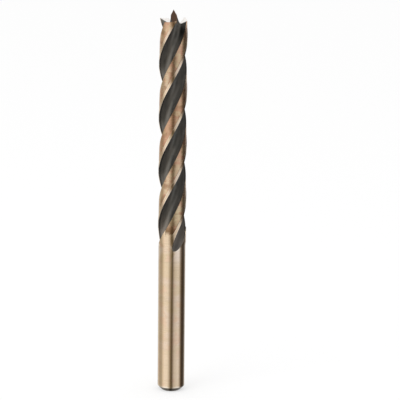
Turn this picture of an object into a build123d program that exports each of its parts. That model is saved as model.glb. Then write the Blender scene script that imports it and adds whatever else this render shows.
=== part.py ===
"""A wood drill bit: one ground bar of hardened steel, 9 mm across and 125 mm long.

It is modelled standing on the end of its shank, with +Z up the axis to the brad point and its origin at
the middle of the shank's end face. From below it has a chamfered round shank, three right-hand flutes
with three lands between them, and a tip with a three-sided brad point and three spurs. All sizes are in
millimetres, and all bearings in degrees, anticlockwise from +X as seen from the tip.
"""

import os
from math import atan2, cos, degrees, radians, sin, sqrt, tan

from build123d import *

# Bar and shank
drill_diameter = 9.0
overall_length = 125.0
shank_diameter = 8.7
shank_chamfer = 1.35
shoulder_rise = 1.4
shoulder_length = 1.2

# Flutes
flute_count = 3
flute_length = 78.0
helix_lead = 52.1
web_diameter = 2.16
web_taper = 0.005
flute_floor_radius = 1.9
rake_wall_angle = 30.0
heel_wall_angle = 30.5
flute_runout = 9.0

# Lands, each with a full-diameter margin behind its lip and a relief that falls away to the heel
margin_width = 0.8
relief_depth = 0.12
heel_drop = 0.1
relief_rise = 4.4
relief_runout = 4.2
relief_end_turn = 21.0
relief_end_width = 12.0
relief_end_rise = 0.16
relief_overlap = 5.0

# Tip
lip_bearing = -77.5
brad_stand = 2.95
brad_facet_angle = 15.0
brad_facet_turn = 5.0
spur_depth = 1.9
lip_clearance = 8.0
valley_radius = 0.3
boundary_bend = 1.3
boundary_turn = 30.0

# Spacing of the sections that each lofted cut runs through, and how far the cuts reach past the steel
section_step = 4.0
runout_sections = 6
overcut = 0.6
tip_cut_reach = 12.0

# Heights and radii that follow from the sizes above
drill_radius = drill_diameter / 2
shank_radius = shank_diameter / 2
web_radius = web_diameter / 2
spur_height = overall_length - brad_stand
valley_height = spur_height - spur_depth
flute_end = overall_length - flute_length
shank_length = flute_end + shoulder_rise
relief_end = flute_end + relief_rise
floor_centre = web_radius + flute_floor_radius
cut_radius = drill_radius + overcut
cut_top = overall_length + overcut


def lip_turn(height):
    """Bearing of the first land's leading edge at a height: it follows a right-hand helix."""
    return lip_bearing + 360 * (height - spur_height) / helix_lead


def wall_crossing(wall_angle):
    """Angle from the flute's middle at which a wall, tangent to the floor, leaves the steel."""
    lean = radians(wall_angle)
    out = floor_centre - flute_floor_radius * sin(lean)
    side = flute_floor_radius * cos(lean)
    along = out * cos(lean) + side * sin(lean)
    reach = sqrt(along**2 + drill_radius**2 - out**2 - side**2) - along
    return degrees(atan2(side + reach * sin(lean), out + reach * cos(lean)))


lip_to_middle = wall_crossing(rake_wall_angle)
land_angle = 360 / flute_count - lip_to_middle - wall_crossing(heel_wall_angle)
margin_angle = degrees(margin_width / drill_radius)
relief_angle = land_angle + relief_overlap


def section_heights(runout_start, end):
    """Heights of a lofted cut's sections, closer together from where it begins to leave the steel."""
    count = int((cut_top - runout_start) / section_step) + 1
    heights = [cut_top - (cut_top - runout_start) * step / count for step in range(count)]
    spacing = (runout_start - end) / runout_sections
    return heights + [runout_start - spacing * step for step in range(runout_sections + 1)]


# A flute's floor leaves the steel along the arc of the wheel that ground it
flute_depth = drill_radius - web_radius - web_taper * (valley_height - flute_end)
wheel_radius = (flute_runout**2 + flute_depth**2) / (2 * flute_depth)
wheel_start = flute_end + flute_runout
wheel_end = wheel_start - sqrt(wheel_radius**2 - (wheel_radius - flute_depth - overcut) ** 2)

# One flute's space, lofted through its rounded U section at each height
with BuildPart() as flute_cut:
    for height in section_heights(wheel_start, wheel_end):
        thickening = web_taper * max(0.0, valley_height - height)
        drop = max(0.0, wheel_start - height)
        lift = thickening + wheel_radius - sqrt(wheel_radius**2 - drop**2)
        with BuildSketch(Plane.XY.offset(height).rotated((0, 0, lip_turn(height) + lip_to_middle))):
            with BuildLine():
                floor = CenterArc(
                    (floor_centre + lift, 0),
                    flute_floor_radius,
                    90 + heel_wall_angle,
                    180 - heel_wall_angle - rake_wall_angle,
                )
                heel_wall = PolarLine(floor @ 0, cut_radius, heel_wall_angle)
                rake_wall = PolarLine(floor @ 1, cut_radius, -rake_wall_angle)
                Line(heel_wall @ 1, rake_wall @ 1)
            make_face()
    loft()


def relief_point(share, front, back, drop, rise):
    """A point of the relief's bed: share 0 is its margin side and share 1 its heel side."""
    angle = radians(front + (back - front) * share)
    radius = drill_radius - relief_depth - drop * share**2 + rise
    return (radius * cos(angle), radius * sin(angle))


# One land's relief, lofted through a thin curved segment that narrows to a rounded tongue at its end
with BuildPart() as relief_cut:
    for height in section_heights(relief_end + relief_runout, relief_end):
        run = max(0.0, relief_end + relief_runout - height) / relief_runout
        rise = relief_end_rise * run**2
        drop = heel_drop * (1 - run)
        front = -margin_angle - (relief_end_turn - margin_angle - relief_end_width / 2) * run**3
        back = -relief_angle + (relief_angle - relief_end_turn - relief_end_width / 2) * run**2
        with BuildSketch(Plane.XY.offset(height).rotated((0, 0, lip_turn(height)))):
            with BuildLine():
                bed = ThreePointArc(
                    relief_point(0, front, back, drop, rise),
                    relief_point(0.5, front, back, drop, rise),
                    relief_point(1, front, back, drop, rise),
                )
                rim = CenterArc((0, 0), cut_radius, front, back - front)
                Line(bed @ 0, rim @ 0)
                Line(bed @ 1, rim @ 1)
            make_face()
    loft()


def at_bearing(distance, bearing):
    """A point at a distance from the axis, at a bearing."""
    return (distance * cos(radians(bearing)), distance * sin(radians(bearing)))


# The space above one land's tip, laid out with its lip along +X: a shallow cone rises out to the spur and
# falls away behind the lip, and a steep plane beside the axis is one facet of the brad point. Its sides
# start on the brad point's edges and then bend back to stay inside the flutes
valley_reach = (brad_stand + spur_depth) * tan(radians(brad_facet_angle)) / cos(radians(brad_facet_turn))
lip_slope = spur_depth / (drill_radius - valley_reach)
cone_rise = drill_radius * lip_slope
half_pitch = 180 / flute_count
cone_plane = Plane((0, 0, spur_height), x_dir=(1, 0, 0), z_dir=(0, -1, 0)).rotated((lip_clearance, 0, 0))
facet_plane = Plane((0, 0, overall_length), x_dir=(0, 1, 0), z_dir=(1, 0, 0))
facet_plane = facet_plane.rotated((-brad_facet_turn, -brad_facet_angle, 0))
with BuildPart() as tip_cut:
    with BuildSketch(cone_plane):
        with BuildLine():
            Polyline(
                (0, -cone_rise),
                (-tip_cut_reach, (tip_cut_reach - drill_radius) * lip_slope),
                (-tip_cut_reach, tip_cut_reach),
                (0, tip_cut_reach),
                close=True,
            )
        make_face()
    revolve(axis=Axis(cone_plane.origin, cone_plane.y_dir))
    with BuildSketch(Plane.XY.offset(valley_height - tip_cut_reach).rotated((0, 0, -brad_facet_turn))):
        with BuildLine():
            Polyline(
                (0, 0),
                at_bearing(boundary_bend, -half_pitch),
                at_bearing(tip_cut_reach, -half_pitch - boundary_turn),
                at_bearing(tip_cut_reach, half_pitch - boundary_turn),
                at_bearing(boundary_bend, half_pitch),
                close=True,
            )
        make_face()
    extrude(amount=2 * tip_cut_reach, mode=Mode.INTERSECT)
    split(bisect_by=facet_plane, keep=Keep.TOP)
    valley = tip_cut.edges().sort_by_distance((valley_reach, 0, valley_height))[0]
    fillet(valley, valley_radius)

# The bar: a shank turned a little under the drill's diameter up to where the flutes run out, and above it a
# blank at the full diameter
with BuildPart() as drill_bit:
    with BuildSketch(Plane.XZ):
        with BuildLine():
            Polyline(
                (0, 0),
                (shank_radius - shank_chamfer, 0),
                (shank_radius, shank_chamfer),
                (shank_radius, shank_length),
                (drill_radius, shank_length + shoulder_length),
                (drill_radius, overall_length),
                (0, overall_length),
                close=True,
            )
        make_face()
    revolve(axis=Axis.Z)
    with PolarLocations(0, flute_count):
        add(relief_cut.part, mode=Mode.SUBTRACT)
        add(flute_cut.part, mode=Mode.SUBTRACT)
    with PolarLocations(0, flute_count, start_angle=lip_bearing):
        add(tip_cut.part, mode=Mode.SUBTRACT)

drill_bit.part.label = "drill_bit"
os.makedirs("parts", exist_ok=True)
export_step(drill_bit.part, "parts/drill_bit.step")
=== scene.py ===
"""A wood drill bit standing on its shank, 9 mm across and 125 mm long, in metres, +Z up.

The steel's form comes from model.glb. This file gives it its finish: a ground shank and lands tinted by heat,
black flutes, a brown brad point and a pale, freshly ground tip. It stands on white paper in a plain studio.
"""

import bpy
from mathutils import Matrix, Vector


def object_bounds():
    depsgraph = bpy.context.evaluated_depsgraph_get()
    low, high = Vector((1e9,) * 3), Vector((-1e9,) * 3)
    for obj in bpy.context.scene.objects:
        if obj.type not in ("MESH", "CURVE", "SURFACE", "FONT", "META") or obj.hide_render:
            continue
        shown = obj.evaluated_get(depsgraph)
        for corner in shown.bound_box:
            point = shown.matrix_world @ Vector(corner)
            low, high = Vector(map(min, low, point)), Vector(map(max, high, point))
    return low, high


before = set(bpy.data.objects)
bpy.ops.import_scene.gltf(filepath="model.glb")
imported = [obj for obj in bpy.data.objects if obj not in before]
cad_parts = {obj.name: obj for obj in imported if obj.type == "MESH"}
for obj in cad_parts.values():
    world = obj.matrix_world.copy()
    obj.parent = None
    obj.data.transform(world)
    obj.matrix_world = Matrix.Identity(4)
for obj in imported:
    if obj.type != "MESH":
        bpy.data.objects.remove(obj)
cad_box = [list(corner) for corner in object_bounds()]

from math import pi, tan

import bpy
import numpy as np
from mathutils import Matrix, Vector


# The bar. One ground bar of hardened steel: a plain shank, three right-hand flutes left black by the
# hardening bath, and lands and a shank that are ground bright after it and tinted by the heat of grinding.
# The tip is ground last and stays pale.
class Shade:
    """One output of a shader node. Operators on it add Math nodes, and node() adds any other kind."""

    def __init__(self, tree, socket):
        self.tree = tree
        self.socket = socket

    def node(self, kind, inputs, output=0, stops=None, **settings):
        """Adds a node: its settings and a ramp's stops first, then its sockets' values or links."""
        new = self.tree.nodes.new("ShaderNode" + kind)
        for name, value in settings.items():
            setattr(new, name, value)
        if stops:
            elements = new.color_ramp.elements
            while len(elements) < len(stops):
                elements.new(1.0)
            for element, (position, tint) in zip(elements, stops):
                element.position = position
                element.color = tint
        for name, value in inputs.items():
            if isinstance(value, Shade):
                value.into(new, name)
            else:
                new.inputs[name].default_value = value
        return Shade(self.tree, new.outputs[output])

    def into(self, node, name):
        """Links this value to a socket of a node."""
        self.tree.links.new(self.socket, node.inputs[name])

    def beside(self, output):
        """Another output of the node that this value comes from."""
        return Shade(self.tree, self.socket.node.outputs[output])

    def axes(self):
        """The three coordinates of a vector."""
        split = self.node("SeparateXYZ", {"Vector": self})
        return [split.beside(axis) for axis in "XYZ"]

    def math(self, operation, *others):
        return self.node("Math", dict(enumerate((self, *others))), operation=operation)

    def __add__(self, other):
        return self.math("ADD", other)

    def __sub__(self, other):
        return self.math("SUBTRACT", other)

    def __mul__(self, other):
        return self.math("MULTIPLY", other)

    def __truediv__(self, other):
        return self.math("DIVIDE", other)

    def __mod__(self, other):
        return self.math("FLOORED_MODULO", other)

    def __neg__(self):
        return self * -1

    def __rsub__(self, other):
        return -self + other

    __radd__ = __add__
    __rmul__ = __mul__

    def step(self, low, high):
        """0 below low, 1 above high, and a smooth rise between them."""
        sockets = {"Value": self, "From Min": low, "From Max": high}
        return self.node("MapRange", sockets, interpolation_type="SMOOTHSTEP")

    def band(self, start, full, fade, end):
        """A smooth rise from 0 at start to 1 at full, and a smooth fall from fade back to 0 at end."""
        return self.step(start, full) * (1 - self.step(fade, end))

    def blend(self, first, second):
        """A colour: first where this value is 0, second where it is 1. A Mix node takes them at 6 and 7."""
        return self.node("Mix", {0: self, 6: first, 7: second}, output=2, data_type="RGBA")

    def ramp(self, low, high, tints):
        """A colour that changes as this value goes from low to high, through (value, tint) pairs."""
        stops = [((value - low) / (high - low), tint) for value, tint in tints]
        return self.node("ValToRGB", {"Fac": (self - low) / (high - low)}, stops=stops)


def source(tree, kind, output):
    """One output of a new node that has no inputs, for the rest of a material to start from."""
    return Shade(tree, tree.nodes.new("ShaderNode" + kind).outputs[output])


def noise(spot, scale=1.0, detail=2.0, stretch=(1, 1, 1), shift=(0, 0, 0)):
    """Smooth random values about 0.5 at spot x stretch + shift, with more fine ones for more detail."""
    spot = spot.node("VectorMath", {0: spot, 1: stretch, 2: shift}, operation="MULTIPLY_ADD")
    return spot.node("TexNoise", {"Vector": spot, "Scale": scale, "Detail": detail})


def layered(base, *layers):
    """A colour with the tint of each (mask, tint) pair laid over it in turn."""
    for mask, tint in layers:
        base = mask.blend(base, tint)
    return base


def rgb(red, green, blue):
    """A colour given in the 0 to 255 of a screen, in the linear form that shaders take."""
    share = np.array([red, green, blue]) / 255
    linear = np.where(share < 0.04045, share / 12.92, ((share + 0.055) / 1.055) ** 2.4)
    return (*linear, 1.0)


# Sizes of the bar in millimetres, and in degrees behind a land's leading edge
drill_radius = 4.5
shank_radius = 4.35
shank_top = 48.4
shoulder_top = 49.6
helix_lead = 52.1
lip_bearing = -77.5
lip_height = 122.05
flute_pitch = 120.0
margin_angle = 10.2
relief_angle = 54.2
relief_depth = 0.12
heel_drop = 0.1
metre = 1000.0

steel = bpy.data.materials.new("ground_steel")
steel.use_nodes = True
tree = steel.node_tree
shader = tree.nodes["Principled BSDF"]
place = source(tree, "TexCoord", "Object")
normal = place.beside("Normal")
place = place.node("VectorMath", {0: place, "Scale": metre}, operation="SCALE")
x, y, z = place.axes()
radius = (x * x + y * y).math("SQRT")
bearing = y.math("ARCTAN2", x) * (180 / pi)
behind_lip = ((z - lip_height) * (360 / helix_lead) + lip_bearing - bearing) % flute_pitch

# Where each finish lies: a pair says where it begins and where it is full, and four numbers say where it
# fades and ends too. The skin is the radius that was ground, and what lies under it is still black
relief_sides = (9.2, 11.2, 53.2, 55.2)
relief_heights = (49.6, 50.1)
black_depths = (0.06, 0.12)
black_heights = (45.4, 45.9)
margin_radii = (4.42, 4.46)
margin_heights = (48.6, 49.6)
tip_heights = (119.9, 120.1)
tip_slopes = (0.6, 0.75)
brad_heights = (120.4, 120.9)
brad_radii = (1.15, 1.25)
share = (behind_lip - margin_angle) / (relief_angle - margin_angle)
bed = drill_radius - relief_depth - heel_drop * share * share
shoulder = 1 - z.step(shank_top, shoulder_top)
blank = drill_radius - (drill_radius - shank_radius) * shoulder
skin = blank - behind_lip.band(*relief_sides) * (blank - bed)
flute = (skin - radius).step(*black_depths) * z.step(*black_heights)
margin = radius.step(*margin_radii) * z.step(*margin_heights)
relieved = (1 - flute) * (1 - margin) * z.step(*relief_heights)
upward = normal.axes()[2]
ground_tip = z.step(*tip_heights) * upward.step(*tip_slopes)
brad = z.step(*brad_heights) * (1 - radius.step(*brad_radii))

# Patterns: slow drifts along the bar, clouds, stains and flecks a few millimetres across, the rings that the
# wheel leaves round the ground steel, and lines that run along the flutes
drift_stretch = (0.05, 0.05, 0.13)
drift = noise(place, stretch=drift_stretch)
other_drift = noise(place, scale=1.4, stretch=drift_stretch, shift=(7.3, 2.1, 5.4))
cloud = noise(place, scale=0.4, detail=1.5)
stain = noise(place, scale=0.7)
fleck = noise(place, scale=0.55, detail=3.0, shift=(8.1, 3.3, 5.7))
rings = noise(place, stretch=(0.15, 0.15, 14.0))
along_flute = behind_lip.node("CombineXYZ", {"X": behind_lip, "Y": radius, "Z": z})
lines = noise(along_flute, stretch=(1.2, 5.0, 0.2))
marks = rings + (lines - rings) * flute

# The shank's bronze tints, and a painted highlight that makes it paler below each flute's end. A spread is
# where in the noise a tint begins and where it is full
shank_cream = rgb(234, 211, 183)
shank_straw = rgb(226, 204, 171)
shank_rose = rgb(233, 211, 189)
shank_peach = rgb(233, 204, 177)
# Painted highlight: the shank is paler below each flute's end
shank_painted_highlight = rgb(241, 223, 206)
shank_straw_spread = (0.4, 0.62)
shank_rose_spread = (0.45, 0.6)
shank_peach_spread = (0.5, 0.7)
shank_highlight_heights = (41.5, 45.5, 47.5, 49.0)
shank_highlight_sides = (10, 35, 72, 84)
shank = layered(
    shank_cream,
    (drift.step(*shank_straw_spread), shank_straw),
    (other_drift.step(*shank_rose_spread), shank_rose),
    (cloud.step(*shank_peach_spread), shank_peach),
    # painted highlight below each flute's end
    (z.band(*shank_highlight_heights) * behind_lip.band(*shank_highlight_sides), shank_painted_highlight),
)

# The lands' heat tints, which change with height, and brown at the thin end of each relief. The strip behind
# that end has the shank's finish
land_heights = [
    (51.0, rgb(134, 106, 78)),
    (54.0, rgb(146, 118, 88)),
    (57.0, rgb(214, 192, 157)),
    (66.0, rgb(224, 199, 169)),
    (76.0, rgb(218, 188, 157)),
    (85.0, rgb(208, 170, 140)),
    (94.0, rgb(208, 168, 135)),
    (101.0, rgb(218, 195, 169)),
    (108.0, rgb(206, 176, 146)),
    (117.0, rgb(222, 186, 157)),
]
land_rose = rgb(210, 158, 134)
land_straw = rgb(230, 215, 176)
land_brown = rgb(158, 122, 92)
land_rose_spread = (0.46, 0.66)
land_straw_spread = (0.48, 0.62)
land_brown_spread = (0.52, 0.70)
land_rose_strength = 0.7
land_straw_strength = 0.45
land_brown_strength = 0.6
strip_side = (25, 30)
strip_end = (52.5, 54.0)
land = layered(
    z.ramp(0, land_heights[-1][0], land_heights),
    (stain.step(*land_rose_spread) * land_rose_strength, land_rose),
    (fleck.step(*land_straw_spread) * land_straw_strength, land_straw),
    (cloud.step(*land_brown_spread) * land_brown_strength, land_brown),
    (behind_lip.step(*strip_side) * (1 - z.step(*strip_end)), shank),
)

# The flutes' black, with painted shading across each flute that is darker on the heel wall and lighter on
# the floor, and greyer clouds. A painted highlight lightens each flute where it runs out, the black is darker
# by the tip on the heel side, and painted shade darkens it near the heels and at the top of the rake walls,
# but not on the spurs
# Painted shading across each flute, by angle behind the lip: darker on the heel wall, lighter on the floor
flute_painted_shading = [
    (0.0, rgb(112, 109, 104)),
    (46.0, rgb(112, 110, 105)),
    (57.0, rgb(82, 82, 79)),
    (70.0, rgb(82, 82, 79)),
    (90.0, rgb(100, 100, 96)),
    (106.0, rgb(112, 109, 104)),
]
flute_grey = rgb(122, 118, 112)
# Painted highlight: each flute is lighter where it runs out into the shank
flute_runout_highlight = rgb(144, 136, 128)
# Near-black: the painted shade by the heels and on the rake walls, and the darker patch by the tip
flute_near_black = rgb(30, 29, 28)
grey_spread = (0.35, 0.7)
grey_strength = 0.5
runout_highlight_heights = (46, 51, 53, 59)
runout_highlight_strength = 0.9
# Where the flute is darker by the tip, on the heel side
tip_darkening_heights = (113.9, 118.9)
tip_darkening_sides = (20, 30, 54, 66)
tip_darkening_radii = (1.9, 2.6)
tip_darkening_strength = 0.9
spur_side = (20, 30)
spur_heights = (119.4, 121.4)
# Painted shade on the flute beside each heel, at the outer radius
heel_shade_side = (54, 60)
heel_shade_radii = (3.7, 4.3)
heel_shade_strength = 0.8
# Painted shade at the top of each rake wall, under the leading edge
rake_shade_side = (98, 106)
rake_shade_radii = (3.3, 4.3)
rake_shade_strength = 0.9
tip_darkening = z.step(*tip_darkening_heights) * behind_lip.band(*tip_darkening_sides) * radius.step(*tip_darkening_radii)
spur = (1 - behind_lip.step(*spur_side)) * z.step(*spur_heights)
# Painted shade by the heel, but not on the spurs
heel_painted_shade = (1 - behind_lip.step(*heel_shade_side)) * (1 - spur) * radius.step(*heel_shade_radii)
# Painted shade under the leading edge
rake_painted_shade = behind_lip.step(*rake_shade_side) * radius.step(*rake_shade_radii)
black = layered(
    # painted shading across the flute
    behind_lip.ramp(0, flute_pitch, flute_painted_shading),
    (cloud.step(*grey_spread) * grey_strength, flute_grey),
    # painted highlight where the flute runs out
    (z.band(*runout_highlight_heights) * runout_highlight_strength, flute_runout_highlight),
    (tip_darkening * tip_darkening_strength, flute_near_black),
    # painted shade by the heels
    (heel_painted_shade * heel_shade_strength, flute_near_black),
    # painted shade at the top of the rake walls
    (rake_painted_shade * rake_shade_strength, flute_near_black),
)


def near_edge(reach):
    """1 beside a sharp edge, falling to 0 in metal that no edge is within reach of, in metres."""
    buried = place.node("AmbientOcclusion", {"Distance": reach}, 1, inside=True, only_local=True, samples=8)
    return 1 - buried


# Wear and painted highlight: the lands' edges are rubbed bright, partly wear and partly a painted highlight,
# but for the heels' and those by the tip, and a painted highlight lies on the rims where the flutes run out
# into the shank
edge_reach = 0.25 / metre
edge_spread = (0.08, 0.4)
edge_end = (115.9, 117.9)
heel_sides = (30, 40, 70, 85)
# Painted highlight on the rims where the flutes run out into the shank
rim_highlight_reach = 1.0 / metre
rim_highlight_spread = (0.02, 0.14)
# Edges rubbed bright, partly wear and partly a painted highlight
edge = near_edge(edge_reach).step(*edge_spread) * (1 - z.step(*edge_end)) * (1 - behind_lip.band(*heel_sides))
# Painted highlight on the run-out rims
rim_highlight = near_edge(rim_highlight_reach).step(*rim_highlight_spread) * shoulder * (1 - flute)
wear_and_highlight = edge.math("MAXIMUM", rim_highlight)

# The whole bar: each finish in its place, then the grinding marks, the edges' wear and painted highlight,
# and the dark chamfer
brad_brown = rgb(122, 94, 76)
tip_pale = rgb(248, 244, 240)
mark_shade = rgb(120, 104, 88)
# Near-white on the edges, partly wear and partly a painted highlight
worn_edge_and_highlight = rgb(252, 242, 228)
chamfer_black = rgb(74, 66, 56)
mark_spread = (0.5, 0.75)
mark_strength = 0.22
wear_and_highlight_strength = 0.9
chamfer_heights = (1.25, 1.35)
colour = layered(
    shank,
    (relieved, land),
    (flute, black),
    (brad, brad_brown),
    (ground_tip, tip_pale),
    (marks.step(*mark_spread) * mark_strength, mark_shade),
    # wear and painted highlight on the edges
    (wear_and_highlight * wear_and_highlight_strength, worn_edge_and_highlight),
    (1 - z.step(*chamfer_heights), chamfer_black),
)
colour.into(shader, "Base Color")

# How polished it is: the shank and margins most, the reliefs less and the flutes least. The flutes' black is
# partly an oxide with a white gloss, which is less where the flutes are darker by the tip
ground_rough = 0.14
flute_rougher = 0.26
relief_rougher = 0.14
ring_rougher = 0.08
oxide = 0.28
tip_darkening_over_oxide = 0.2
mark_depth = 0.004 / metre
rough = ground_rough + flute * flute_rougher + relieved * relief_rougher + (rings - 0.5) * ring_rougher
rough.into(shader, "Roughness")
(1 - flute * (oxide - tip_darkening * tip_darkening_over_oxide)).into(shader, "Metallic")
marks.node("Bump", {"Height": marks, "Distance": mark_depth}).into(shader, "Normal")
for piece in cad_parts.values():
    for slot in piece.material_slots:
        slot.material = steel


# The floor. A sheet of plain white paper under the bit, cut round and wider than the picture. It keeps the
# bit's soft shadow, and is clear to glossy rays, so the steel mirrors the studio's panels below the horizon.
floor_radius = 0.9
floor_sides = 96
angle = np.linspace(0, 2 * pi, floor_sides, endpoint=False)
outline = np.stack([floor_radius * np.cos(angle), floor_radius * np.sin(angle), 0 * angle], 1)
floor_mesh = bpy.data.meshes.new("floor")
floor_mesh.from_pydata(outline.tolist(), [], [list(range(floor_sides))])
floor = bpy.data.objects.new("floor", floor_mesh)
bpy.context.scene.collection.objects.link(floor)

white = (1.0, 1.0, 1.0, 1.0)
paper_white = (0.98, 0.98, 0.98, 1.0)
paper_roughness = 0.9
paper_glare = 0.6
paper = bpy.data.materials.new("white_paper")
paper.use_nodes = True
tree = paper.node_tree
paper_shader = tree.nodes["Principled BSDF"]
paper_shader.inputs["Base Color"].default_value = paper_white
paper_shader.inputs["Roughness"].default_value = paper_roughness
paper_shader.inputs["Specular IOR Level"].default_value = 0.0
glossy = source(tree, "LightPath", "Is Glossy Ray")
glare = glossy.node("Emission", {"Color": white})
seen = glossy.beside("Is Camera Ray") * paper_glare
sheet = seen.node("MixShader", {0: seen, 1: Shade(tree, paper_shader.outputs[0]), 2: glare})
clear = glossy.node("BsdfTransparent", {})
glossy.node("MixShader", {0: glossy, 1: sheet, 2: clear}).into(tree.nodes["Material Output"], "Surface")
floor_mesh.materials.append(paper)


# The studio. Plain white to the eye, with an even soft light on everything and one large lamp at the upper
# left. Polished steel mirrors a ring of tinted panels round the bit, and a sky above them that is dark at
# the camera's side and white behind the bit.

# The panels: a bearing from the camera's side, in degrees and negative to the left, and its glow
panels = [
    (-180, 0.12, 0.10, 0.08),
    (-168, 0.30, 0.28, 0.25),
    (-158, 0.82, 0.80, 0.76),
    (-142, 0.78, 0.76, 0.72),
    (-128, 0.52, 0.49, 0.43),
    (-98, 0.46, 0.43, 0.36),
    (-88, 0.55, 0.52, 0.46),
    (-76, 0.84, 0.78, 0.70),
    (-62, 1.02, 1.00, 0.98),
    (-34, 0.98, 0.97, 0.94),
    (-18, 0.60, 0.56, 0.50),
    (-8, 0.22, 0.18, 0.12),
    (2, 0.10, 0.08, 0.05),
    (10, 0.20, 0.18, 0.14),
    (19, 0.56, 0.53, 0.50),
    (30, 0.70, 0.69, 0.68),
    (60, 0.84, 0.85, 0.86),
    (72, 0.66, 0.65, 0.63),
    (82, 0.28, 0.25, 0.22),
    (92, 0.09, 0.07, 0.055),
    (108, 0.05, 0.04, 0.03),
    (122, 0.08, 0.075, 0.07),
    (140, 0.20, 0.20, 0.20),
    (152, 0.72, 0.71, 0.70),
    (164, 0.70, 0.69, 0.68),
    (172, 0.30, 0.28, 0.25),
    (180, 0.12, 0.10, 0.08),
]
front_sky = (0.10, 0.10, 0.11, 1.0)
soft_light = (0.95, 0.95, 0.95, 1.0)
sky_turn = (-0.2, 0.3)
sky_start = (0.0, 0.22)
world = bpy.data.worlds.new("studio")
bpy.context.scene.world = world
world.use_nodes = True
tree = world.node_tree
toward = source(tree, "TexCoord", "Generated")
east, north, up = toward.axes()
side = east.math("ARCTAN2", -north) * (180 / pi)
ring = side.ramp(-180, 180, [(middle, (*tint, 1.0)) for middle, *tint in panels])
sky = north.step(*sky_turn).blend(front_sky, white)
mirrored = up.step(*sky_start).blend(ring, sky)
glossy = source(tree, "LightPath", "Is Glossy Ray")
lit = layered(soft_light, (glossy, mirrored), (glossy.beside("Is Camera Ray"), white))
lit.into(tree.nodes["Background"], "Color")

key_size = 0.5
key_power = 1.5
key_place = Vector((-0.45, -0.45, 0.55))
key_aim = Vector((0, 0, 0.06))
key = bpy.data.objects.new("key", bpy.data.lights.new("key", "AREA"))
key.data.size = key_size
key.data.energy = key_power
key.location = key_place
key.rotation_euler = (key_aim - key_place).to_track_quat("-Z", "Y").to_euler()
bpy.context.scene.collection.objects.link(key)


# The camera. It stands a long way off and a little above the tip, where the photograph was taken from, and
# its lens and turn put the tip and the foot on the pixels that they have there.
picture_side = 400
tip_pixel = (173.15, 9.7)
foot_pixel = (171.38, 388.5)
eye = Vector((0.0, -0.84, 0.268))
sensor_width = 36.0
tip_height = cad_box[1][2]
tip_dip = np.arctan2(eye.z - tip_height, -eye.y)
foot_dip = np.arctan2(eye.z, -eye.y)
focal = (foot_pixel[1] - tip_pixel[1]) / (2 * tan((foot_dip - tip_dip) / 2))
pitch = (foot_dip + tip_dip) / 2 + (picture_side / 2 - (tip_pixel[1] + foot_pixel[1]) / 2) / focal
yaw = (picture_side / 2 - (tip_pixel[0] + foot_pixel[0]) / 2) / focal
lean = (tip_pixel[0] - foot_pixel[0]) / (foot_pixel[1] - tip_pixel[1])
roll = lean + yaw * tan(pitch)
tilt = Matrix.Rotation(pi / 2 - pitch, 4, "X")
turn = Matrix.Rotation(-yaw, 4, "Y") @ Matrix.Rotation(roll, 4, "Z")
camera = bpy.data.objects.new("camera", bpy.data.cameras.new("camera"))
camera.data.sensor_width = sensor_width
camera.data.lens = focal * sensor_width / picture_side
camera.data.clip_start = 0.01
camera.data.clip_end = 10.0
camera.matrix_world = Matrix.Translation(eye) @ tilt @ turn
bpy.context.scene.collection.objects.link(camera)
bpy.context.scene.camera = camera
bpy.context.scene.view_settings.view_transform = "Standard"
